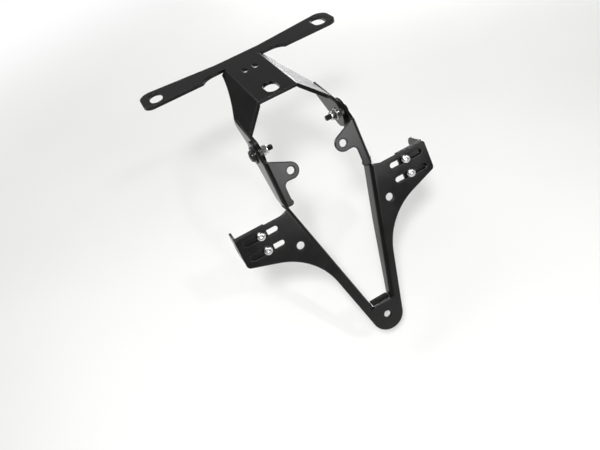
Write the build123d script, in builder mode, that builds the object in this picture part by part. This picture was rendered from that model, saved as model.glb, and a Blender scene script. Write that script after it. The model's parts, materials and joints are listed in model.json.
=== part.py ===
from build123d import *
import math
import os

os.makedirs("parts", exist_ok=True)

# A number plate hanger for the tail of a motorbike, in the place it has when it is fitted.
# X points to one side, Y forward along the bike, Z up. The origin is halfway between the two
# long mounting slots, on the top face that bolts up under the tail. Lengths are in millimetres.

# Tail bracket: one folded sheet, with a wide bar behind and a hat-shaped tongue in front
tail_sheet = 4.0
tail_bend_inside = 2.0
bar_half_width = 122.5
bar_front = -17.5
bar_back_middle = 10.3
bar_back_end = 22.6
bar_flat_half = 28.0
bar_back_radius = 13.0
bar_front_radius = 11.0
bar_slot_from_end = 17.1
bar_slot_width = 15.0
bar_slot_length = 26.0
scallop_outer = 52.0
scallop_depth = 9.0
scallop_flat = 37.0
tongue_half = 22.0
tongue_front = -113.0
tongue_back = -11.5
lead_slot_spacing = 12.6
lead_slot_y = -36.0
lead_slot_width = 5.5
lead_slot_length = 11.0
wire_slot_y = -96.0
wire_slot_width = 14.7
wire_slot_length = 24.5
flank_slope = 39.0
flank_back_drop = 8.0
flank_back_start = -13.0
flank_back_middle = -50.0
flank_back_middle_drop = 17.3
flank_back_end = -89.0
flank_front_reach = 18.5
tab_lap = 1.0
tab_corner = 5.0

# Side tabs of the tail bracket, which carry the hinge
tab_outer = 48.0
hinge_y = -142.0
hinge_z = -35.3
tab_radius = 14.5

# Hinge hardware: a wide washer and a button head outside, a washer and a lock nut inside
screw_clearance = 0.3
thread_gap = 0.1
hinge_screw_size = 6.0
hinge_head_diameter = 12.5
hinge_head_height = 3.3
hinge_key_size = 4.0
hinge_outer_washer = 18.0
hinge_inner_washer = 12.0
hinge_washer_thickness = 1.6
hinge_nut_width = 10.0
hinge_nut_height = 6.0
hinge_screw_past_nut = 5.5

# Wing hardware: a button head in front and a lock nut behind
wing_screw_size = 5.0
wing_head_diameter = 9.5
wing_head_height = 2.75
wing_key_size = 3.0
wing_nut_width = 8.0
wing_nut_height = 5.0
wing_screw_past_nut = 1.5

# Plate carrier: one folded sheet with two legs, two wings and two arms that reach the hinge
lean_from_level = 66.0
carrier_sheet = 3.0
carrier_bend_inside = 1.5
hinge_behind_face = 27.0
hinge_rise = 69.0
leg_angle = 14.2
leg_inner_half = 43.3
vertex_y = -124.7
tip_hole_y = -143.2
tip_radius = 18.0
tip_hole = 7.5
wing_half_span = 109.5
wing_top = 8.6
wing_neck_top = 11.0
wing_shoulder_reach = 6.3
wing_low_outer = -23.3
wing_root_low = -45.7
wing_root_radius = 70.0
wing_top_radius = 3.5
wing_low_radius = 4.5
wing_shoulder_radius = 12.0
wing_slot_in = 68.0
wing_slot_from_end = 9.7
wing_slot_width = 5.5
wing_slot_pitch = 16.0
wing_hole_x = 52.5
wing_hole_y = -28.0
wing_hole = 8.2
wall_depth_top = 18.0
wall_depth_middle = 15.0
wall_depth_vertex = 12.0
wall_step_high = -45.0
wall_step_low = -85.0
vertex_flange_half = 10.4
vertex_flange_depth = 11.0
neck_gap = 1.5
leg_over = 20.0
neck_reach = 2.5
neck_taper_top = 21.0
neck_taper_in = 1.4425
arm_radius = 14.5
ear_x = 29.5
ear_y = 44.1
ear_radius = 8.7
ear_hole = 7.7
ear_strip_inner = 40.8
ear_strip_top = 61.5
ear_strip_low_at_wall = 36.5
ear_saddle_radius = 5.0
ear_lobe_radius = 3.4
ear_lobe_x = 43.1

# Indicator brackets: an angle under each wing, held by two screws in the slots
indicator_sheet = 2.5
indicator_bend_inside = 1.5
indicator_width = 33.0
indicator_screw_from_flange = 25.8
indicator_top = 9.1
indicator_low = -22.5
indicator_flange_top = 12.2
indicator_flange_low = -18.0
indicator_flange_depth = 33.0
indicator_top_corner = 8.5
indicator_low_corner = 5.0
stem_hole = 10.5
stem_hole_y = -7.0
stem_hole_depth = 23.0

# Planes: the hinge is a line along X, and the carrier's plane lies in front of it
lean = math.radians(lean_from_level)
up_face = Vector(0, math.cos(lean), math.sin(lean))
out_face = Vector(0, -math.sin(lean), math.cos(lean))
hinge = Vector(0, hinge_y, hinge_z)
carrier_origin = hinge + out_face * hinge_behind_face - up_face * hinge_rise
carrier_plane = Plane(origin=carrier_origin, x_dir=(1, 0, 0), z_dir=out_face)


def carrier_side(x):
    """The upright plane at x, drawn in the carrier's own height and depth."""
    return Plane(origin=carrier_origin + Vector(x, 0, 0), x_dir=up_face, z_dir=(1, 0, 0))


def nearest(items, x, y, z=0.0):
    """The vertex or edge of a list that lies closest to a point."""
    return items.sort_by_distance(Vector(x, y, z))[0]


def near_in_carrier(part, x, y, z):
    """The edge of the part closest to a point given in the carrier's plane."""
    return part.edges().sort_by_distance(in_carrier(x, y, z))[0]


def in_carrier(x, y, z=0.0):
    """A point given in the carrier's plane, in the part's own frame."""
    return carrier_plane.from_local_coords(Vector(x, y, z))


def leg_inner(y):
    """Half the opening between the legs, at a height in the carrier's plane."""
    return leg_inner_half + y * math.tan(math.radians(leg_angle))


# The tail bracket's hat section, seen along the bike
slope = math.radians(flank_slope)
flank_drop = (tab_outer - tongue_half) * math.tan(slope)
flank_run = (tab_outer - tongue_half) / math.cos(slope)
tail_bend_outside = tail_bend_inside + tail_sheet
low_bend_turn = math.radians(90 - flank_slope)
low_bend_end = flank_drop + tail_bend_outside * math.tan(low_bend_turn / 2)
flank_plane = Plane(
    origin=(tongue_half, 0, 0),
    x_dir=(0, 1, 0),
    z_dir=(-math.sin(slope), 0, -math.cos(slope)),
)
flank_plane_left = Plane(
    origin=(-tongue_half, 0, 0),
    x_dir=(0, 1, 0),
    z_dir=(-math.sin(slope), 0, math.cos(slope)),
)
hinge_bore = hinge_screw_size + screw_clearance

with BuildPart() as tail_bracket:
    # The tongue and its two flanks, bent from the same sheet
    with BuildSketch(Plane.XZ.offset(-tongue_back)):
        with BuildLine():
            FilletPolyline(
                (-tab_outer, -low_bend_end - tab_lap),
                (-tab_outer, -flank_drop),
                (-tongue_half, 0),
                (tongue_half, 0),
                (tab_outer, -flank_drop),
                (tab_outer, -low_bend_end - tab_lap),
                radius=tail_bend_outside,
            )
            offset(amount=tail_sheet, side=Side.RIGHT)
        make_face()
    extrude(amount=tongue_back - tongue_front + flank_front_reach)
    with BuildSketch(Plane.XY):
        with Locations((0, tongue_front)):
            Rectangle(2 * tongue_half, 2 * tongue_half, align=(Align.CENTER, Align.MAX))
    extrude(amount=-tab_outer, mode=Mode.SUBTRACT)

    # Each flank is cut square to its own face, and carries a flat tab past its lower bend
    for side in (-1, 1):
        with BuildSketch(flank_plane if side > 0 else flank_plane_left):
            with BuildLine():
                ThreePointArc(
                    (flank_back_start, flank_back_drop),
                    (flank_back_middle, flank_back_middle_drop),
                    (flank_back_end, flank_run),
                )
                Polyline(
                    (flank_back_end, flank_run),
                    (flank_back_end, 2 * flank_run),
                    (-tongue_back, 2 * flank_run),
                    (-tongue_back, flank_back_drop),
                    (flank_back_start, flank_back_drop),
                )
            make_face()
            Polygon(
                (tongue_front, 0),
                (tongue_front - flank_front_reach, flank_run),
                (tongue_front - flank_front_reach, 2 * flank_run),
                (2 * tongue_front, 2 * flank_run),
                (2 * tongue_front, 0),
                align=None,
            )
        extrude(amount=tab_outer, both=True, mode=Mode.SUBTRACT)
        tab_inner = side * (tab_outer - tail_sheet)
        with BuildSketch(Plane.YZ.offset(tab_inner)):
            with BuildLine():
                Line((flank_back_end, -low_bend_end), (tongue_front - flank_front_reach, -low_bend_end))
            with Locations((flank_back_end - tab_corner, -low_bend_end)):
                Circle(tab_corner)
            with Locations((hinge_y, hinge_z)):
                Circle(tab_radius)
            make_hull()
        extrude(amount=side * tail_sheet)

    # The bar, with its scalloped front edge on each side of the tongue
    with BuildSketch(Plane.XY.offset(-tail_sheet)) as bar_plan:
        with BuildLine():
            Polyline(
                (0, bar_back_middle),
                (bar_flat_half, bar_back_middle),
                (bar_half_width, bar_back_end),
                (bar_half_width, bar_front),
                (scallop_outer, bar_front),
            )
            TangentArc((scallop_flat, -scallop_depth), (scallop_outer, bar_front), tangent=(1, 0))
            Polyline(
                (scallop_flat, -scallop_depth),
                (tongue_half, -scallop_depth),
                (tongue_half, bar_front),
                (0, bar_front),
            )
            mirror(about=Plane.YZ)
        make_face()
        for side in (-1, 1):
            fillet(nearest(bar_plan.vertices(), side * bar_half_width, bar_back_end), bar_back_radius)
            fillet(nearest(bar_plan.vertices(), side * bar_half_width, bar_front), bar_front_radius)
            fillet(nearest(bar_plan.vertices(), side * bar_flat_half, bar_back_middle), bar_back_radius)
    extrude(amount=tail_sheet)

    # Long slots for the bolts under the tail, and for the wires and the light
    bar_slot_x = bar_half_width - bar_slot_from_end
    with BuildSketch(Plane.XY):
        with Locations((-bar_slot_x, 0), (bar_slot_x, 0)):
            SlotOverall(bar_slot_length, bar_slot_width, rotation=90)
        with Locations((-lead_slot_spacing / 2, lead_slot_y), (lead_slot_spacing / 2, lead_slot_y)):
            SlotOverall(lead_slot_length, lead_slot_width, rotation=90)
        with Locations((0, wire_slot_y)):
            SlotOverall(wire_slot_length, wire_slot_width, rotation=90)
    extrude(amount=-tail_sheet, mode=Mode.SUBTRACT)
    with BuildSketch(Plane.YZ.offset(-bar_half_width)):
        with Locations((hinge_y, hinge_z)):
            Circle(hinge_bore / 2)
    extrude(amount=2 * bar_half_width, mode=Mode.SUBTRACT)
tail_bracket.part.label = "tail_bracket"

# The plate carrier: its plate, seen square on, is one half outline mirrored
leg_lean = math.radians(leg_angle)
leg_foot_x = tip_radius * math.cos(leg_lean)
leg_foot_y = tip_hole_y - tip_radius * math.sin(leg_lean)
wing_root_x = leg_foot_x + (wing_root_low - leg_foot_y) * math.tan(leg_lean)
tip_mid_angle = math.radians(-90 + (90 - leg_angle) / 2)
wall_outer = tab_outer + carrier_sheet
wall_across = carrier_sheet / math.cos(leg_lean)
carrier_bend_outside = carrier_bend_inside + carrier_sheet
bend_edge = wall_outer - carrier_bend_outside
bend_across = carrier_bend_outside / math.cos(leg_lean)
vertex_cut = vertex_y - carrier_bend_outside
wing_shoulder = leg_inner(wing_neck_top) + bend_across + wing_shoulder_reach
wing_slot_out = wing_half_span - wing_slot_from_end
ear_strip_low = wing_neck_top + neck_gap
ear_lobe_y = ear_strip_low + ear_lobe_radius
leg_start = in_carrier(leg_inner(vertex_y), vertex_y)
leg_along = in_carrier(math.sin(leg_lean), math.cos(leg_lean)) - carrier_origin
leg_plane = Plane(leg_start, x_dir=leg_along.cross(out_face) * -1, z_dir=leg_along)
leg_length = (wing_neck_top - vertex_y) / math.cos(leg_lean)

with BuildPart() as plate_carrier:
    # The right leg's wall and its bend, drawn across the leg and cut off at both ends
    with BuildSketch(leg_plane.offset(-leg_over)):
        with Locations((0, -carrier_bend_outside)):
            Rectangle(carrier_sheet, wall_depth_top - carrier_bend_outside, align=(Align.MAX, Align.MAX))
    extrude(amount=leg_length + 2 * leg_over)
    with BuildSketch(leg_plane.offset(-leg_over)):
        with Locations((-carrier_bend_outside, -carrier_bend_outside)):
            Circle(carrier_bend_outside)
            Circle(carrier_bend_inside, mode=Mode.SUBTRACT)
            Rectangle(carrier_bend_outside, carrier_bend_outside, align=Align.MIN, mode=Mode.INTERSECT)
    extrude(amount=leg_length + 2 * leg_over)
    with BuildSketch(carrier_plane):
        with Locations((0, vertex_cut)):
            Rectangle(wing_half_span, 2 * leg_over, align=(Align.MIN, Align.MAX))
        with Locations((0, wing_neck_top)):
            Rectangle(wing_half_span, 2 * leg_over, align=(Align.MIN, Align.MIN))
    extrude(amount=-wall_depth_top, mode=Mode.SUBTRACT)
    with BuildSketch(carrier_side(0)):
        Polygon(
            (vertex_cut, -wall_depth_vertex),
            (wall_step_low, -wall_depth_middle),
            (wall_step_high, -wall_depth_top),
            (wall_step_high, -2 * wall_depth_top),
            (vertex_cut, -2 * wall_depth_top),
            align=None,
        )
    extrude(amount=wing_half_span, mode=Mode.SUBTRACT)

    # The plate's right half, from the bend out to the wing and down to the rounded point
    with BuildSketch(carrier_plane.offset(-carrier_sheet)) as leaf:
        with BuildLine():
            Polyline(
                (0, tip_hole_y - tip_radius),
                (0, vertex_cut),
                (leg_inner(vertex_cut) + bend_across, vertex_cut),
                (leg_inner(wing_neck_top) + bend_across, wing_neck_top),
                (wing_shoulder, wing_top),
                (wing_half_span, wing_top),
                (wing_half_span, wing_low_outer),
                (wing_root_x, wing_root_low),
                (leg_foot_x, leg_foot_y),
            )
            ThreePointArc(
                (leg_foot_x, leg_foot_y),
                (tip_radius * math.cos(tip_mid_angle), tip_hole_y + tip_radius * math.sin(tip_mid_angle)),
                (0, tip_hole_y - tip_radius),
            )
        make_face()
        fillet(nearest(leaf.vertices(), wing_shoulder, wing_top), wing_shoulder_radius)
        fillet(nearest(leaf.vertices(), wing_half_span, wing_top), wing_top_radius)
        fillet(nearest(leaf.vertices(), wing_half_span, wing_low_outer), wing_low_radius)
        fillet(nearest(leaf.vertices(), wing_root_x, wing_root_low), wing_root_radius)
    extrude(amount=carrier_sheet)

    # Half the flange that is folded back at the end of the opening
    with BuildSketch(carrier_side(0)):
        with Locations((vertex_y, -carrier_bend_outside)):
            Rectangle(
                carrier_sheet,
                vertex_flange_depth - carrier_bend_outside,
                align=(Align.MAX, Align.MAX),
            )
    extrude(amount=vertex_flange_half)
    with BuildSketch(carrier_side(0)):
        with Locations((vertex_cut, -carrier_bend_outside)):
            Circle(carrier_bend_outside)
            Circle(carrier_bend_inside, mode=Mode.SUBTRACT)
            Rectangle(carrier_bend_outside, carrier_bend_outside, align=Align.MIN, mode=Mode.INTERSECT)
    extrude(amount=vertex_flange_half)

    # Below the bends, the neck joins the leg's wall to the upright arm above it
    with BuildSketch(carrier_plane.offset(-carrier_bend_outside)):
        Polygon(
            (leg_inner(wing_neck_top - neck_reach), wing_neck_top - neck_reach),
            (leg_inner(wing_neck_top - neck_reach) + wall_across, wing_neck_top - neck_reach),
            (wall_outer, ear_strip_low + neck_reach),
            (tab_outer, ear_strip_low + neck_reach),
            align=None,
        )
    extrude(amount=carrier_bend_outside - wall_depth_top)

    # The arm reaches up to the hinge, and the ear is folded inwards from it
    with BuildSketch(carrier_side(tab_outer)):
        with BuildLine():
            Polyline(
                (ear_strip_top, -carrier_bend_outside),
                (ear_strip_low, -carrier_bend_outside),
                (ear_strip_low, -wall_depth_top),
            )
        with Locations((hinge_rise, -hinge_behind_face)):
            Circle(arm_radius)
        make_hull()
    extrude(amount=carrier_sheet)
    with BuildSketch(Plane(in_carrier(0, ear_strip_low), x_dir=(-1, 0, 0), z_dir=up_face)):
        with Locations((carrier_bend_outside - wall_outer, -carrier_bend_outside)):
            Circle(carrier_bend_outside)
            Circle(carrier_bend_inside, mode=Mode.SUBTRACT)
            Rectangle(
                carrier_bend_outside,
                carrier_bend_outside,
                align=(Align.MAX, Align.MIN),
                mode=Mode.INTERSECT,
            )
    extrude(amount=ear_strip_top - ear_strip_low)
    with BuildSketch(carrier_plane) as ear:
        with BuildLine():
            Line((bend_edge, ear_strip_low_at_wall), (bend_edge, ear_strip_top))
        with Locations((ear_x, ear_y)):
            Circle(ear_radius)
        make_hull()
        with Locations((bend_edge, ear_lobe_y)):
            Rectangle(bend_edge - ear_strip_inner, ear_y - ear_lobe_y, align=(Align.MAX, Align.MIN))
            Rectangle(bend_edge - ear_lobe_x, ear_lobe_radius, align=(Align.MAX, Align.MAX))
        fillet(nearest(ear.vertices(), ear_strip_inner, ear_strip_low_at_wall), ear_saddle_radius)
        with Locations((ear_lobe_x, ear_lobe_y)):
            Circle(ear_lobe_radius)
    extrude(amount=-carrier_sheet)

    # The arm's outer side is tapered towards the neck, then the half is mirrored
    with BuildSketch(carrier_plane):
        Polygon(
            (wall_outer - neck_taper_in, ear_strip_low),
            (wall_outer, neck_taper_top),
            (wing_half_span, neck_taper_top),
            (wing_half_span, ear_strip_low),
            align=None,
        )
    extrude(amount=-2 * wall_depth_top, mode=Mode.SUBTRACT)
    mirror(about=Plane.YZ)

    # Slots for the indicator brackets, and holes for the plate, its lamp and the reflector
    with BuildSketch(carrier_plane):
        for side in (-1, 1):
            for level in (0, -wing_slot_pitch):
                with Locations((side * (wing_slot_in + wing_slot_out) / 2, level)):
                    SlotCenterToCenter(wing_slot_out - wing_slot_in, wing_slot_width)
            with Locations((side * wing_hole_x, wing_hole_y)):
                Circle(wing_hole / 2)
            with Locations((side * ear_x, ear_y)):
                Circle(ear_hole / 2)
        with Locations((0, tip_hole_y)):
            Circle(tip_hole / 2)
    extrude(amount=-carrier_sheet, mode=Mode.SUBTRACT)
    with BuildSketch(carrier_side(-wall_outer)):
        with Locations((hinge_rise, -hinge_behind_face)):
            Circle(hinge_bore / 2)
    extrude(amount=2 * wall_outer, mode=Mode.SUBTRACT)
plate_carrier.part.label = "plate_carrier"

pieces = [tail_bracket.part, plate_carrier.part]

# Indicator brackets: an angle under each wing, its flange standing away behind the wing's end
indicator_flange = wing_half_span
indicator_inner = indicator_flange - indicator_width
indicator_screw_x = indicator_flange - indicator_screw_from_flange
indicator_bend_outside = indicator_bend_inside + indicator_sheet
wing_bore = wing_screw_size + screw_clearance
for side, name in ((-1, "left"), (1, "right")):
    with BuildPart() as bracket:
        with BuildSketch(carrier_plane.offset(-carrier_sheet)):
            Polygon(
                (side * indicator_inner, indicator_low),
                (side * indicator_flange, indicator_low),
                (side * indicator_flange, indicator_top),
                (side * indicator_inner, indicator_top),
                align=None,
            )
        extrude(amount=-indicator_sheet)
        flange_inside = indicator_flange - indicator_sheet
        with BuildSketch(carrier_side(side * flange_inside)) as flange:
            Polygon(
                (indicator_flange_low, -carrier_sheet),
                (indicator_flange_low, -indicator_flange_depth),
                (indicator_flange_top, -indicator_flange_depth),
                (indicator_top, -carrier_sheet - 2 * indicator_bend_outside),
                (indicator_top, -carrier_sheet),
                align=None,
            )
            top_corner = nearest(flange.vertices(), indicator_flange_top, -indicator_flange_depth)
            low_corner = nearest(flange.vertices(), indicator_flange_low, -indicator_flange_depth)
            fillet(top_corner, indicator_top_corner)
            fillet(low_corner, indicator_low_corner)
            with Locations((stem_hole_y, -stem_hole_depth)):
                Circle(stem_hole / 2, mode=Mode.SUBTRACT)
        extrude(amount=side * indicator_sheet)
        fold = near_in_carrier(bracket, side * indicator_flange, stem_hole_y, -carrier_sheet)
        fillet(fold, indicator_bend_outside)
        with BuildSketch(carrier_plane.offset(-carrier_sheet)):
            with Locations(*[(side * indicator_screw_x, level) for level in (0, -wing_slot_pitch)]):
                Circle(wing_bore / 2)
        extrude(amount=-indicator_sheet, mode=Mode.SUBTRACT)
    bracket.part.label = "indicator_bracket_" + name
    pieces.append(bracket.part)


def button_screw(seat, size, head, height, key, length, label):
    """A screw whose low round head rests on the seat plane, with a six-sided key hole in it."""
    with BuildPart() as screw:
        Cylinder(size / 2, length, align=(Align.CENTER, Align.CENTER, Align.MAX))
        Cylinder(head / 2, height, align=(Align.CENTER, Align.CENTER, Align.MIN))
        with BuildSketch(Plane.XY.offset(height)):
            RegularPolygon(key / 2, 6, major_radius=False)
        extrude(amount=-key / 2, mode=Mode.SUBTRACT)
    return placed(screw, seat, label)


def flat_washer(seat, diameter, bore, thickness, label):
    """A plain washer that lies on the seat plane."""
    with BuildPart() as washer:
        with BuildSketch():
            Circle(diameter / 2)
            Circle(bore / 2, mode=Mode.SUBTRACT)
        extrude(amount=thickness)
    return placed(washer, seat, label)


def hexagon_nut(seat, size, width, height, label):
    """A nut that stands on the seat plane, with room for the screw's thread."""
    with BuildPart() as nut:
        with BuildSketch():
            RegularPolygon(width / 2, 6, major_radius=False)
            Circle((size + thread_gap) / 2, mode=Mode.SUBTRACT)
        extrude(amount=height)
    return placed(nut, seat, label)


def placed(builder, seat, label):
    """The finished piece moved from the ground plane to its seat, with its name."""
    piece = seat.from_local_coords(builder.part)
    piece.label = label
    return piece


# Hinge hardware on each side: screw and wide washer outside, washer and lock nut inside
hinge_grip = 2 * hinge_washer_thickness + carrier_sheet + tail_sheet
for side, name in ((-1, "left"), (1, "right")):
    outer_seat = Plane(hinge + Vector(side * wall_outer, 0, 0), x_dir=up_face, z_dir=(side, 0, 0))
    inner_spot = hinge + Vector(side * (tab_outer - tail_sheet), 0, 0)
    inner_seat = Plane(inner_spot, x_dir=up_face, z_dir=(-side, 0, 0))
    pieces.append(
        flat_washer(
            outer_seat,
            hinge_outer_washer,
            hinge_bore,
            hinge_washer_thickness,
            "hinge_outer_washer_" + name,
        )
    )
    pieces.append(
        button_screw(
            outer_seat.offset(hinge_washer_thickness),
            hinge_screw_size,
            hinge_head_diameter,
            hinge_head_height,
            hinge_key_size,
            hinge_grip + hinge_nut_height + hinge_screw_past_nut,
            "hinge_screw_" + name,
        )
    )
    pieces.append(
        flat_washer(
            inner_seat,
            hinge_inner_washer,
            hinge_bore,
            hinge_washer_thickness,
            "hinge_inner_washer_" + name,
        )
    )
    pieces.append(
        hexagon_nut(
            inner_seat.offset(hinge_washer_thickness),
            hinge_screw_size,
            hinge_nut_width,
            hinge_nut_height,
            "hinge_nut_" + name,
        )
    )

# Wing hardware: two screws through each wing's slots, each with a lock nut behind
wing_grip = carrier_sheet + indicator_sheet
for side, name in ((-1, "left"), (1, "right")):
    for level, place in ((0, "upper"), (-wing_slot_pitch, "lower")):
        spot = in_carrier(side * indicator_screw_x, level)
        pieces.append(
            button_screw(
                Plane(spot, x_dir=(1, 0, 0), z_dir=out_face),
                wing_screw_size,
                wing_head_diameter,
                wing_head_height,
                wing_key_size,
                wing_grip + wing_nut_height + wing_screw_past_nut,
                "wing_screw_" + name + "_" + place,
            )
        )
        pieces.append(
            hexagon_nut(
                Plane(spot - out_face * wing_grip, x_dir=(1, 0, 0), z_dir=-out_face),
                wing_screw_size,
                wing_nut_width,
                wing_nut_height,
                "wing_nut_" + name + "_" + place,
            )
        )

for piece in pieces:
    export_step(piece, "parts/" + piece.label + ".step")
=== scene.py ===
import json
import math

import bpy
from mathutils import Matrix, Vector


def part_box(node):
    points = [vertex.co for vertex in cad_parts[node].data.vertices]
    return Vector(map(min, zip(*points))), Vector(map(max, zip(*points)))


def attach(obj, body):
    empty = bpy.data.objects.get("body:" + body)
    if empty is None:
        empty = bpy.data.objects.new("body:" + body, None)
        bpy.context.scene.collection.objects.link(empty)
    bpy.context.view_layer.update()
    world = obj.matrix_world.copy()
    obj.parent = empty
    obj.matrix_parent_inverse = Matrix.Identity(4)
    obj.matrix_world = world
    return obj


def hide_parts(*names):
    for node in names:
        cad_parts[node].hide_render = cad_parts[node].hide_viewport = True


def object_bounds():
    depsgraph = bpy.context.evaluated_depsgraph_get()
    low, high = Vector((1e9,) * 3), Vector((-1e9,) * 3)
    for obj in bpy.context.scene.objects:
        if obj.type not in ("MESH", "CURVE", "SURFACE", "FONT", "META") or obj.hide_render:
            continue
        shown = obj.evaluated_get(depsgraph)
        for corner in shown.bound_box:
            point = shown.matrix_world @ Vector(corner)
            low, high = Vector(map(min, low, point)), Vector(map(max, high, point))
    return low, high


# A motorbike's number plate hanger, as it sits when it is fitted: folded steel sheet in satin
# black powder coat, held together by button-head screws and locking nuts.
# Lengths are in metres, and MM turns the millimetres of a drawing into them.

MM = 0.001
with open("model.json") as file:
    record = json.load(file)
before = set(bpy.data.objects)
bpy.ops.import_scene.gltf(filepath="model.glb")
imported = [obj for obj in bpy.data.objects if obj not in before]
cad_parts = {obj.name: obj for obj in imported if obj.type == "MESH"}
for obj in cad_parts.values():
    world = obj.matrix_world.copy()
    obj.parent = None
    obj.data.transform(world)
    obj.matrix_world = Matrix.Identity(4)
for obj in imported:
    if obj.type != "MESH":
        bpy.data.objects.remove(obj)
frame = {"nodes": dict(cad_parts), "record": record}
cad_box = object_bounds()
mounts = {mount["name"]: mount for mount in frame["record"]["mounts"]}

# Directions and sizes taken from the frame
sideways = Vector((1, 0, 0))
plate_facing = Vector(mounts["plate_hole_low"]["axis"]).normalized()
plate_upward = plate_facing.cross(sideways)
SIDES = (("left", -1), ("right", 1))

# Places on the drawing of the plate carrier, whose heights run up its face from the wing slots
LOW_HOLE_HEIGHT = -143.2 * MM
WING_SCREW_ACROSS = 83.7 * MM
WING_SLOT_PITCH = 16.0 * MM
LEVELS = (("upper", 0.0), ("lower", -WING_SLOT_PITCH))

# Thicknesses of sheets and washers
CARRIER_SHEET = 3.0 * MM
INDICATOR_SHEET = 2.5 * MM
HINGE_WASHER = 1.6 * MM

# The wing screws' heads stand this far off the sheet that they slide along
SLIDING_GAP = 0.03 * MM

# Screws and nuts of the two threads. Thread, head, socket, nut and collar are half widths, and
# hexagon is the height at which a nut's hexagon ends and its collar begins.
HINGE = {
    "thread": 3.0 * MM, "pitch": 1.0 * MM, "groove": 0.55 * MM, "length": 21.7 * MM, "point": 0.8 * MM,
    "head": 6.25 * MM, "head_height": 3.3 * MM, "socket": 2.0 * MM, "socket_depth": 2.3 * MM,
    "nut": 5.0 * MM, "nut_height": 6.0 * MM, "hexagon": 4.3 * MM, "collar": 4.75 * MM,
}
WING = {
    "thread": 2.5 * MM, "pitch": 0.8 * MM, "groove": 0.43 * MM, "length": 12.0 * MM, "point": 0.6 * MM,
    "head": 4.75 * MM, "head_height": 2.75 * MM, "socket": 1.5 * MM, "socket_depth": 1.9 * MM,
    "nut": 4.0 * MM, "nut_height": 5.0 * MM, "hexagon": 3.6 * MM, "collar": 3.8 * MM,
}

# How finely the turned pieces are drawn
ROUND_STEPS = 48
THREAD_STEPS = 36
ROWS_PER_TURN = 6
DOME_STEPS = 8
SHARP_FROM = math.radians(32)

# How the sheet parts' faces are joined, flattened and shaded
WELD_REACH = 0.002 * MM
ONE_PLANE_WITHIN = math.radians(1)
BROKEN_FROM = math.radians(35)
BROKEN_STEPS = 3
FLAT_FACE_WEIGHT = 80

# The part of a noise's values over which a finish changes from one look to the other
CLOUD_FROM = 0.3
CLOUD_TO = 0.7


# Colour and node helpers

def from_hex(code):
    """An sRGB hex colour as the linear values that the shaders use."""
    parts = [int(code[i:i + 2], 16) / 255 for i in (1, 3, 5)]
    linear = [p / 12.92 if p <= 0.04045 else ((p + 0.055) / 1.055) ** 2.4 for p in parts]
    return (*linear, 1.0)


def add_node(holder, kind, values=None, links=None):
    """Adds one node to a material or world, with its input values and the sockets linked into it."""
    tree = holder.node_tree
    node = tree.nodes.new(kind)
    for key, value in (values or {}).items():
        node.inputs[key].default_value = value
    for key, source in (links or {}).items():
        tree.links.new(source, node.inputs[key])
    return node


def new_material(name):
    """An empty material, named for its finish, with its principled shader."""
    material = bpy.data.materials.new(name)
    material.use_nodes = True
    return material, material.node_tree.nodes["Principled BSDF"]


def cloud_of(material, size, detail):
    """A soft noise whose features are this many millimetres wide, fixed to the piece."""
    place = add_node(material, "ShaderNodeTexCoord").outputs["Object"]
    noise = add_node(
        material,
        "ShaderNodeTexNoise",
        values={"Scale": 1.0 / (size * MM), "Detail": detail},
        links={"Vector": place},
    )
    return noise.outputs["Fac"]


def between_colours(material, factor, dark, light):
    """Drives the base colour from one hex shade to another."""
    ramp = add_node(material, "ShaderNodeValToRGB", links={"Fac": factor})
    ramp.color_ramp.elements[0].position = CLOUD_FROM
    ramp.color_ramp.elements[0].color = from_hex(dark)
    ramp.color_ramp.elements[1].position = CLOUD_TO
    ramp.color_ramp.elements[1].color = from_hex(light)
    shader = material.node_tree.nodes["Principled BSDF"]
    material.node_tree.links.new(ramp.outputs["Color"], shader.inputs["Base Color"])


def between_roughness(material, factor, smooth, rough):
    """Drives the roughness from one value to another."""
    span = add_node(
        material,
        "ShaderNodeMapRange",
        values={"From Min": CLOUD_FROM, "From Max": CLOUD_TO, "To Min": smooth, "To Max": rough},
        links={"Value": factor},
    )
    shader = material.node_tree.nodes["Principled BSDF"]
    material.node_tree.links.new(span.outputs["Result"], shader.inputs["Roughness"])


def add_bump(material, height, strength, depth, edge=0.0):
    """A relief this many millimetres deep. Where an edge is given, the coat rounds edges by that much."""
    links = {"Height": height}
    if edge:
        rounded = add_node(material, "ShaderNodeBevel", values={"Radius": edge * MM})
        rounded.samples = 12
        links["Normal"] = rounded.outputs["Normal"]
    bump = add_node(
        material,
        "ShaderNodeBump",
        values={"Strength": strength, "Distance": depth * MM},
        links=links,
    )
    shader = material.node_tree.nodes["Principled BSDF"]
    material.node_tree.links.new(bump.outputs["Normal"], shader.inputs["Normal"])


# Finishes

def satin_black_powder_coat():
    """Polyester powder baked on folded steel: nearly black, satin, with a faint orange peel."""
    material, shader = new_material("satin_black_powder_coat")
    cloud = cloud_of(material, size=22.0, detail=3.0)
    between_colours(material, cloud, "#0a0a0a", "#0f0f0e")
    between_roughness(material, cloud, smooth=0.19, rough=0.25)
    orange_peel = cloud_of(material, size=1.1, detail=2.0)
    add_bump(material, orange_peel, strength=0.025, depth=0.05, edge=1.3)
    shader.inputs["IOR"].default_value = 1.4
    return material


def black_oxide_steel():
    """Steel screws blackened in a hot bath and oiled: a deep black with a soft shine."""
    material, shader = new_material("black_oxide_steel")
    grain = cloud_of(material, size=0.5, detail=3.0)
    between_colours(material, grain, "#090909", "#131314")
    add_bump(material, grain, strength=0.15, depth=0.03)
    shader.inputs["Roughness"].default_value = 0.3
    return material


def bright_zinc_plate():
    """Zinc plated steel with a clear passivation: silvery, slightly clouded, half bright."""
    material, shader = new_material("bright_zinc_plate")
    cloud = cloud_of(material, size=1.6, detail=4.0)
    between_colours(material, cloud, "#b4b6b4", "#e4e6e5")
    between_roughness(material, cloud, smooth=0.16, rough=0.28)
    add_bump(material, cloud, strength=0.1, depth=0.03)
    shader.inputs["Metallic"].default_value = 1.0
    return material


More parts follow.
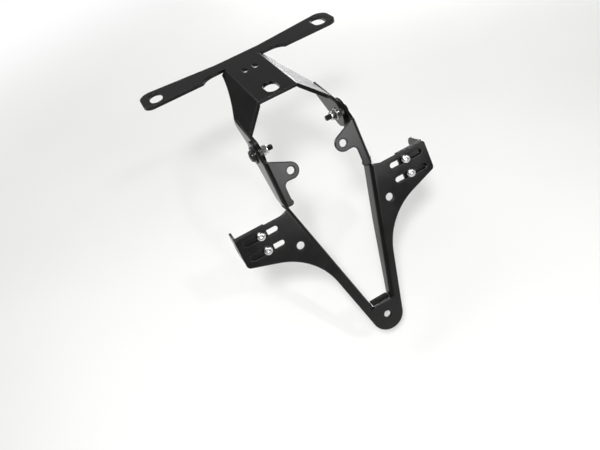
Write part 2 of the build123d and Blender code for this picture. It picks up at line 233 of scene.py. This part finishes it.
def natural_nylon():
    """The locking nut's moulded nylon ring: milky white and waxy."""
    material, shader = new_material("natural_nylon")
    between_colours(material, cloud_of(material, size=2.0, detail=2.0), "#d9d8d0", "#ecebe4")
    shader.inputs["Roughness"].default_value = 0.45
    shader.inputs["IOR"].default_value = 1.53
    return material


POWDER_COAT = satin_black_powder_coat()
BLACK_OXIDE = black_oxide_steel()
ZINC = bright_zinc_plate()
NYLON = natural_nylon()


# Turned and hexagonal hardware, skinned from rings

def hexagon_radius(apothem, angle):
    """Distance from the middle of a hexagon to its side, in one direction."""
    return apothem / math.cos((angle % (math.pi / 3)) - math.pi / 6)


def skin(name, rings, steps, material, body, seat, axis, closed=True):
    """A piece skinned over rings of (height, radius or radius by angle), its axis set on a seat."""
    spots = []
    for height, radius in rings:
        for step in range(steps):
            angle = 2 * math.pi * step / steps
            reach = radius(angle) if callable(radius) else radius
            spots.append((reach * math.cos(angle), reach * math.sin(angle), height))
    faces = []
    for row in range(len(rings) - 1):
        low = row * steps
        high = low + steps
        for step in range(steps):
            after = (step + 1) % steps
            faces.append((low + step, low + after, high + after, high + step))
    if closed:
        last = (len(rings) - 1) * steps
        faces.append(tuple(reversed(range(steps))))
        faces.append(tuple(last + step for step in range(steps)))
    mesh = bpy.data.meshes.new(name)
    mesh.from_pydata(spots, [], faces)
    turn = Vector((0, 0, 1)).rotation_difference(axis).to_matrix().to_4x4()
    mesh.transform(Matrix.Translation(seat) @ turn)
    mesh.materials.append(material)
    piece = bpy.data.objects.new(name, mesh)
    bpy.context.scene.collection.objects.link(piece)
    for face in mesh.polygons:
        face.use_smooth = True
    mesh.set_sharp_from_angle(angle=SHARP_FROM)
    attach(piece, body)
    return piece


def threaded_shank(name, size, material, body, seat, axis):
    """The screw below its head: a V thread that rises one pitch a turn, and a chamfered point."""
    rows = int(size["length"] / size["pitch"] * ROWS_PER_TURN)
    tip_share = 0.8

    def row_radius(height):
        narrow = min(1.0, tip_share + (1 - tip_share) * (height + size["length"]) / size["point"])

        def radius(angle):
            place = (height / size["pitch"] - angle / (2 * math.pi)) % 1.0
            return narrow * (size["thread"] - size["groove"] * abs(2 * place - 1))

        return radius

    heights = [size["length"] * (row / rows - 1) for row in range(rows + 1)]
    rings = [(height, row_radius(height)) for height in heights]
    return skin(name, rings, THREAD_STEPS, material, body, seat, axis)


def button_head(name, size, material, body, seat, axis):
    """A low domed head with a hexagon socket, its rim and socket edge slightly broken."""
    radius = size["head"]
    top = size["head_height"]
    foot = 0.22 * top
    flat = 0.56 * radius
    dome_foot = 0.992 * radius
    socket_rim = 0.1 * size["socket"]
    socket_floor = top - size["socket_depth"]
    underside = [(0.0, 0.5 * radius), (0.0, 0.955 * radius)]
    broken_rim = [(0.15 * foot, 0.985 * radius), (0.6 * foot, radius)]
    rings = underside + broken_rim
    for step in range(DOME_STEPS + 1):
        turn = step / DOME_STEPS * math.pi / 2
        rise = (top - foot) * math.sin(turn)
        rings.append((foot + rise, flat + (dome_foot - flat) * math.cos(turn)))

    def socket(angle):
        return hexagon_radius(size["socket"], angle)

    rings.append((top, lambda angle: socket(angle) + socket_rim))
    rings.append((top - socket_rim, socket))
    rings.append((socket_floor, socket))
    rings.append((socket_floor - socket_rim, 0.3 * size["socket"]))
    return skin(name, rings, ROUND_STEPS, material, body, seat, axis)


def screw(node, size, material, body, seat, axis):
    """A whole screw in place of its plain solid: the head and the threaded shank."""
    head = button_head(node + "_head", size, material, body, seat, axis)
    shank = threaded_shank(node + "_thread", size, material, body, seat, axis)
    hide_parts(node)
    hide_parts(node)


def lock_nut(node, size, body, seat, axis):
    """A locking nut in place of its plain solid: chamfered hexagon, crimped collar, nylon ring."""
    bore = 1.01 * size["thread"]
    top = size["nut_height"]
    shoulder = size["hexagon"]
    collar = size["collar"]
    lip = 0.78 * collar
    chamfer = 0.1 * size["nut"]
    corner = 1.03 * size["nut"]
    crimp = 0.35 * (top - shoulder)

    def hexagon(angle):
        return hexagon_radius(size["nut"], angle)

    def chamfered(angle):
        return min(hexagon(angle), corner)

    rings = [(0.0, bore), (0.0, chamfered), (chamfer, hexagon), (shoulder - chamfer, hexagon)]
    rings += [(shoulder, chamfered), (shoulder, collar), (shoulder + crimp, collar)]
    for step in range(1, DOME_STEPS + 1):
        turn = step / DOME_STEPS * math.pi / 2
        height = shoulder + crimp + (top - shoulder - crimp) * math.sin(turn)
        rings.append((height, lip + (collar - lip) * math.cos(turn)))
    nylon_edge = 0.97 * lip
    rings += [(top - crimp / 2, nylon_edge), (top - crimp, bore)]
    hexagonal = skin(node + "_hexagon", rings, ROUND_STEPS, ZINC, body, seat, axis, closed=False)

    nylon_top = top - crimp / 3
    nylon_rim = nylon_top - crimp / 4
    rings = [(shoulder, bore), (shoulder, nylon_edge), (nylon_rim, nylon_edge), (nylon_top, 0.93 * lip)]
    rings += [(nylon_top, 1.06 * bore), (nylon_rim, bore), (shoulder, bore)]
    ring = skin(node + "_nylon", rings, ROUND_STEPS, NYLON, body, seat, axis, closed=False)
    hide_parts(node)
    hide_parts(node)


def middle_of(node):
    """The centre of a node's box."""
    low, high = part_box(node)
    return (Vector(low) + Vector(high)) / 2


def on_carrier(across, height, above=0.0):
    """A point on the carrier's face, from its lowest hole, whose middle lies half a sheet down."""
    start = Vector(mounts["plate_hole_low"]["pos_m"]) + plate_facing * (CARRIER_SHEET / 2 + above)
    return start + sideways * across + plate_upward * (height - LOW_HOLE_HEIGHT)


for side, way in SIDES:
    outward = sideways * way
    head_seat = middle_of("hinge_outer_washer_" + side) + outward * HINGE_WASHER / 2
    screw("hinge_screw_" + side, HINGE, BLACK_OXIDE, "tail", head_seat, outward)
    nut_seat = middle_of("hinge_inner_washer_" + side) - outward * HINGE_WASHER / 2
    lock_nut("hinge_nut_" + side, HINGE, "tail", nut_seat, -outward)
    for level, height in LEVELS:
        place = side + "_" + level
        body = "indicator_" + side
        front = on_carrier(way * WING_SCREW_ACROSS, height, SLIDING_GAP)
        behind = on_carrier(way * WING_SCREW_ACROSS, height, -CARRIER_SHEET - INDICATOR_SHEET)
        screw("wing_screw_" + place, WING, ZINC, body, front, plate_facing)
        lock_nut("wing_nut_" + place, WING, body, behind, -plate_facing)


# Sheet parts and washers keep their CAD shape, with softly broken edges

def finish(node, material, edge, shortest_kept=False):
    """Gives a CAD piece its finish and rounds its edges, by no more than its shortest one if kept."""
    piece = frame["nodes"][node]
    if not piece.material_slots:
        piece.data.materials.append(material)
    for slot in piece.material_slots:
        slot.material = material
    weld = piece.modifiers.new("join", "WELD")
    weld.merge_threshold = WELD_REACH
    whole = piece.modifiers.new("whole_faces", "DECIMATE")
    whole.decimate_type = "DISSOLVE"
    whole.angle_limit = ONE_PLANE_WITHIN
    round_over = piece.modifiers.new("broken_edge", "BEVEL")
    round_over.width = edge
    round_over.segments = BROKEN_STEPS
    round_over.limit_method = "ANGLE"
    round_over.angle_limit = BROKEN_FROM
    round_over.use_clamp_overlap = shortest_kept
    even_shade = piece.modifiers.new("flat_faces", "WEIGHTED_NORMAL")
    even_shade.weight = FLAT_FACE_WEIGHT


finish("tail_bracket", POWDER_COAT, 0.9 * MM, shortest_kept=True)
finish("plate_carrier", POWDER_COAT, 0.7 * MM)
for side, way in SIDES:
    finish("indicator_bracket_" + side, POWDER_COAT, 0.45 * MM)
    finish("hinge_outer_washer_" + side, BLACK_OXIDE, 0.2 * MM)
    finish("hinge_inner_washer_" + side, ZINC, 0.2 * MM)


# Floor, light and camera

def seen_by(holder, kinds):
    """1 where a ray of one of these kinds meets the floor or the world, and 0 for any other ray."""
    path = add_node(holder, "ShaderNodeLightPath")
    seen = path.outputs[kinds[0]]
    for kind in kinds[1:]:
        either = add_node(holder, "ShaderNodeMath", None, {0: seen, 1: path.outputs[kind]})
        either.operation = "MAXIMUM"
        seen = either.outputs["Value"]
    return seen


def white_far_away(material, shader, near, far):
    """Between two distances, in metres, the floor fades to plain white, both as seen and as mirrored."""
    place = add_node(material, "ShaderNodeTexCoord").outputs["Object"]
    distance = add_node(material, "ShaderNodeVectorMath", None, {0: place})
    distance.operation = "LENGTH"
    share = add_node(
        material,
        "ShaderNodeMapRange",
        {"From Min": near, "From Max": far},
        {"Value": distance.outputs["Value"]},
    )
    share.interpolation_type = "SMOOTHSTEP"
    seen = seen_by(material, ("Is Camera Ray", "Is Glossy Ray", "Is Transmission Ray"))
    factor = add_node(material, "ShaderNodeMath", None, {0: share.outputs["Result"], 1: seen})
    factor.operation = "MULTIPLY"
    white = add_node(material, "ShaderNodeEmission", {"Color": from_hex("#ffffff"), "Strength": 1.0})
    both = add_node(
        material,
        "ShaderNodeMixShader",
        None,
        {0: factor.outputs["Value"], 1: shader.outputs["BSDF"], 2: white.outputs["Emission"]},
    )
    output = material.node_tree.nodes["Material Output"]
    material.node_tree.links.new(both.outputs["Shader"], output.inputs["Surface"])


def pale_floor(height):
    """A wide pale floor at one height, under the piece that hangs over it."""
    reach = 8.0
    mesh = bpy.data.meshes.new("floor")
    mesh.from_pydata(
        [(-reach, -reach, height), (reach, -reach, height), (reach, reach, height), (-reach, reach, height)],
        [],
        [(0, 1, 2, 3)],
    )
    floor = bpy.data.objects.new("floor", mesh)
    bpy.context.scene.collection.objects.link(floor)
    material, shader = new_material("matt_white_paper")
    between_colours(material, cloud_of(material, size=400.0, detail=2.0), "#f1f1ef", "#f5f5f4")
    shader.inputs["Roughness"].default_value = 0.9
    shader.inputs["Specular IOR Level"].default_value = 0.1
    white_far_away(material, shader, near=0.7, far=1.8)
    mesh.materials.append(material)


def hang_lamp(name, data, place, aim):
    """Puts a lamp at a place, turned towards its aim."""
    lamp = bpy.data.objects.new(name, data)
    lamp.location = place
    lamp.rotation_euler = (aim - place).to_track_quat("-Z", "Y").to_euler()
    bpy.context.scene.collection.objects.link(lamp)


def softbox(name, place, aim, wide, high, watts):
    """A rectangular lamp, this wide and high in metres."""
    data = bpy.data.lights.new(name, "AREA")
    data.shape = "RECTANGLE"
    data.size = wide
    data.size_y = high
    data.energy = watts
    hang_lamp(name, data, place, aim)


def spot(name, place, aim, radius, watts):
    """A small round lamp, whose light fades softly to the rim of a wide cone."""
    data = bpy.data.lights.new(name, "SPOT")
    data.shadow_soft_size = radius
    data.spot_size = math.radians(90)
    data.spot_blend = 1.0
    data.energy = watts
    hang_lamp(name, data, place, aim)


def even_room(level):
    """A surround that is white to the camera and dim to all else, as the coat mirrors a dark room."""
    world = bpy.data.worlds.new("white_room")
    world.use_nodes = True
    background = world.node_tree.nodes["Background"]
    background.inputs["Color"].default_value = from_hex("#ffffff")
    seen = seen_by(world, ("Is Camera Ray",))
    strength = add_node(
        world,
        "ShaderNodeMapRange",
        {"To Min": level, "To Max": 1.0},
        {"Value": seen},
    )
    world.node_tree.links.new(strength.outputs["Result"], background.inputs["Strength"])
    bpy.context.scene.world = world


# The camera's place, directions and lens, fitted to mirrored pairs of points
CAMERA_PLACE = Vector((-133.7, -600.6, 260.0)) * MM
CAMERA_RIGHT = Vector((0.8671, -0.4237, -0.2620))
CAMERA_UP = Vector((0.4704, 0.5230, 0.7108))
CAMERA_BACK = Vector((-0.1641, -0.7395, 0.6528))
CAMERA_LENS = 33.14
CAMERA_SENSOR = 36.0
NEAREST_SEEN = 10 * MM

camera_data = bpy.data.cameras.new("camera")
camera_data.sensor_width = CAMERA_SENSOR
camera_data.lens = CAMERA_LENS
camera_data.clip_start = NEAREST_SEEN
camera = bpy.data.objects.new("camera", camera_data)
rotation = Matrix((CAMERA_RIGHT, CAMERA_UP, CAMERA_BACK)).transposed().to_4x4()
camera.matrix_world = Matrix.Translation(CAMERA_PLACE) @ rotation
bpy.context.scene.collection.objects.link(camera)
bpy.context.scene.camera = camera

# It hangs as it is mounted, this far over the floor
HANGING_HEIGHT = 60 * MM
DIM_ROOM = 0.14
pale_floor(cad_box[0][2] - HANGING_HEIGHT)
even_room(DIM_ROOM)

# A broad light from behind and above, weak ones that the bent faces mirror, and a small key beside
# the camera, which throws the shadows
middle = Vector((0.0, -0.15, -0.08))
key_place = CAMERA_PLACE + CAMERA_BACK * 0.4 - CAMERA_RIGHT * 0.09 + CAMERA_UP * 0.11
ceiling_aim = middle + Vector((-0.5, 0.8, 0.0))
softbox("ceiling", middle + Vector((-0.8, 1.2, 1.9)), ceiling_aim, wide=2.2, high=2.2, watts=36.0)
softbox("back_wall", middle + Vector((0.3, 2.0, 1.1)), middle, wide=1.6, high=1.2, watts=0.7)
softbox("low_strip", middle + Vector((1.03, 1.19, 0.1)), middle, wide=0.9, high=0.3, watts=8.5)
softbox("ears_glow", middle + Vector((0.38, -1.1, 0.37)), middle, wide=0.7, high=0.34, watts=4.2)
spot("key", key_place, middle, radius=0.06, watts=28.0)
spot("edge_lamp", middle + Vector((0.21, -0.94, 0.87)), middle, radius=0.03, watts=8.0)

bpy.context.scene.view_settings.view_transform = "Standard"
